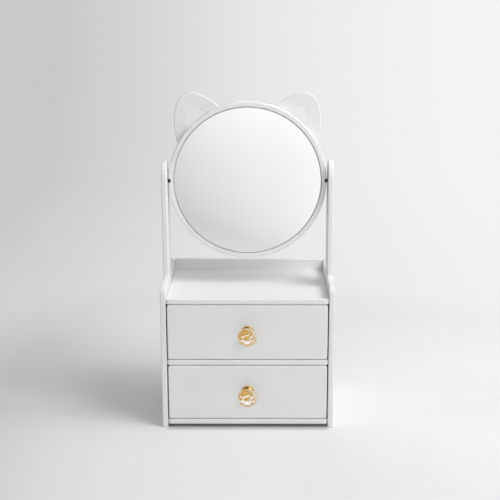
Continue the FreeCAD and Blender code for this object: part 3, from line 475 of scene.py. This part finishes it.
# Between these distances from the middle the camera sees the lit paper give way to a painted glow of
# even tone, whose brightness varies along X, painted darker at the left as the light's fall-off.
FADE_SPAN = (0.5, 0.8)
VIEW_HALF_WIDTH = 0.8
PAINTED_VIEW_TONES = ((0.0, 0.58), (0.3, 0.7), (0.5, 0.8), (0.75, 0.86), (1.0, 0.9))
# What mirror, metal and glass see on top of the lit paper:
# GLOW_BASE + (GLOW_ACROSS * X - GLOW_NEAR) / distance along Y, and never less than nothing.
# X is kept within GLOW_SPAN, and the distance is never less than GLOW_NEAREST.
GLOW_BASE = 0.78
GLOW_ACROSS = 1.184
GLOW_NEAR = 0.933
GLOW_NEAREST = 1.1
GLOW_SPAN = (-0.4, 0.4)
# It fades towards the sides, where the lamps already light the paper: the two distances along
# X, and its share at each.
GLOW_ASIDE = (0.4, 1.4, 1.0, 0.2)


def painted_view_tone(shader, across, half_width):
    """The pale background's brightness, painted darker at the left as the light's fall-off."""
    return shader.ramp(shader.stretch(across, -half_width, half_width), PAINTED_VIEW_TONES)


def paper_tone_and_shade(shader, across, along):
    """The paper's grey with painted shade, and a painted contact shadow where light hardly reaches
    between the feet.
    """
    # Painted shade: greyer at either side and in front.
    tone = shader.math("MULTIPLY",
                       shader.ramp(shader.stretch(across, *PAPER_WIDTH), SHADE_TONES_ACROSS),
                       shader.ramp(shader.stretch(along, *PAPER_LENGTH), SHADE_TONES_ALONG))
    # Painted contact shadow between the feet, on top of the real shadow.
    from_middle = shader.math("ABSOLUTE", shader.math("SUBTRACT", along, CONTACT_SHADOW_MIDDLE))
    painted_contact_shadow = shader.math("MULTIPLY", shader.stretch(from_middle, *CONTACT_SHADOW_ALONG),
                          shader.stretch(shader.math("ABSOLUTE", across), *CONTACT_SHADOW_ACROSS))
    tone = shader.math("MULTIPLY", tone, shader.stretch(painted_contact_shadow, 0.0, 1.0, 1.0, CONTACT_SHADOW_TONE))
    fibres = shader.stretch(shader.noise(FIBRE_SIZE, detail=4.0), *NOISE_SPAN,
                            *(PAPER * share for share in FIBRE_TONES))
    return shader.math("MULTIPLY", tone, fibres)


def paper_glow(shader, across, along):
    """The light that mirror, metal and glass see on top of the lit paper."""
    aside = shader.math("MULTIPLY", shader.stretch(across, *GLOW_SPAN, *GLOW_SPAN), GLOW_ACROSS)
    away = shader.math("MAXIMUM", shader.math("ABSOLUTE", along), GLOW_NEAREST)
    lean = shader.math("DIVIDE", shader.math("SUBTRACT", aside, GLOW_NEAR), away)
    more = shader.math("MAXIMUM", shader.math("ADD", lean, GLOW_BASE), 0.0)
    return shader.math("MULTIPLY", more,
                       shader.stretch(shader.math("ABSOLUTE", across), *GLOW_ASIDE))


def seen_by_gloss(shader, rays):
    """One for the rays that mirror, metal and glass send out."""
    return shader.math("MAXIMUM", rays["Is Glossy Ray"], rays["Is Transmission Ray"])


def stage_paper():
    """Pale paper that takes the object's shadow, with painted shade, and painted glows for gloss and
    further out.
    """
    material, shader = new_material("stage_paper")
    across, along, _ = shader.parts(shader.place())
    rays = shader.node("LightPath").outputs
    paper = shader.principled(Base_Color=paper_tone_and_shade(shader, across, along), Roughness=0.9,
                              Specular_IOR_Level=0.1)
    # Further out the camera sees a painted glow, darker at the left, instead of the lit paper.
    far_painted_glow = shader.emission(painted_view_tone(shader, across, VIEW_HALF_WIDTH), 1.0)
    fade = shader.stretch(shader.length(shader.place()), *FADE_SPAN)
    seen_far = shader.math("MULTIPLY", fade, rays["Is Camera Ray"])
    shown = shader.mix_shaders(seen_far, paper.outputs["BSDF"], far_painted_glow)
    painted_glow = shader.emission(1.0, shader.math("MULTIPLY", paper_glow(shader, across, along),
                                            seen_by_gloss(shader, rays)))
    both = shader.node("AddShader")
    shader.link(shown, both.inputs[0])
    shader.link(painted_glow, both.inputs[1])
    shader.link(both.outputs["Shader"], shader.surface)
    return material


def add_backdrop():
    """Floor and wall in one seamless sheet."""
    profile = [(FLOOR_FRONT, 0.0)]
    for step in range(SWEEP_STEPS + 1):
        angle = math.pi / 2 * step / SWEEP_STEPS
        profile.append((BACKDROP_DEPTH - SWEEP_RADIUS + SWEEP_RADIUS * math.sin(angle),
                        SWEEP_RADIUS * (1 - math.cos(angle))))
    profile.append((BACKDROP_DEPTH, BACKDROP_HEIGHT))
    vertices = [(side * BACKDROP_HALF_WIDTH, y, z) for y, z in profile for side in (-1, 1)]
    faces = [(2 * n, 2 * n + 1, 2 * n + 3, 2 * n + 2) for n in range(len(profile) - 1)]
    mesh = bpy.data.meshes.new("backdrop")
    mesh.from_pydata(vertices, [], faces)
    mesh.shade_smooth()
    backdrop = bpy.data.objects.new("backdrop", mesh)
    bpy.context.scene.collection.objects.link(backdrop)
    mesh.materials.append(stage_paper())


# The lamps are soft discs at one distance from this point, and all turned to it.
AIM = Vector((0.0, 0.0, 0.25))
LAMP_DISTANCE = 1.8
LAMP_SIZE = 1.0
# Degrees from the object's right towards its front, degrees up, and watts.
LAMPS = {
    "key": (35, 48, 17.3),
    "side": (5, 48, 8.0),
}
# The room's light straight in front of the object and straight behind it.
ROOM_FRONT = 0.83
ROOM_BACK = 1.65
ROOM_VIEW_HALF_WIDTH = 0.105


def add_lamp(name, around, up, power):
    around = math.radians(around)
    up = math.radians(up)
    towards = Vector((math.cos(up) * math.cos(around), -math.cos(up) * math.sin(around),
                      math.sin(up)))
    data = bpy.data.lights.new(name, "AREA")
    data.shape = "DISK"
    data.size = LAMP_SIZE
    data.energy = power
    lamp = bpy.data.objects.new(name, data)
    bpy.context.scene.collection.objects.link(lamp)
    lamp.location = AIM + towards * LAMP_DISTANCE
    lamp.rotation_euler = towards.to_track_quat("Z", "Y").to_euler()


def add_room():
    """Soft light from in front and behind, and the same pale view, painted darker at the left, as
    the paper's far tone.
    """
    world = bpy.data.worlds.new("room")
    bpy.context.scene.world = world
    shader = Shader(world)
    across, along, _ = shader.parts(shader.place("Generated"))
    front = shader.stretch(along, 0.0, -1.0, 0.0, ROOM_FRONT)
    back = shader.stretch(along, 0.0, 1.0, 0.0, ROOM_BACK)
    light = shader.math("ADD", front, back)
    # The view that the camera and gloss see is painted, darker at the left.
    pale = painted_view_tone(shader, across, ROOM_VIEW_HALF_WIDTH)
    rays = shader.node("LightPath").outputs
    seen = shader.math("MAXIMUM", rays["Is Camera Ray"], seen_by_gloss(shader, rays))
    background = shader.node("Background")
    shader.link(shader.mix(seen, light, pale), background.inputs["Color"])
    output = shader.node("OutputWorld")
    shader.link(background.outputs["Background"], output.inputs["Surface"])


bpy.context.scene.view_settings.view_transform = "Standard"
finish_all()
add_backdrop()
for lamp_name, lamp_facts in LAMPS.items():
    add_lamp(lamp_name, *lamp_facts)
add_room()
add_camera()
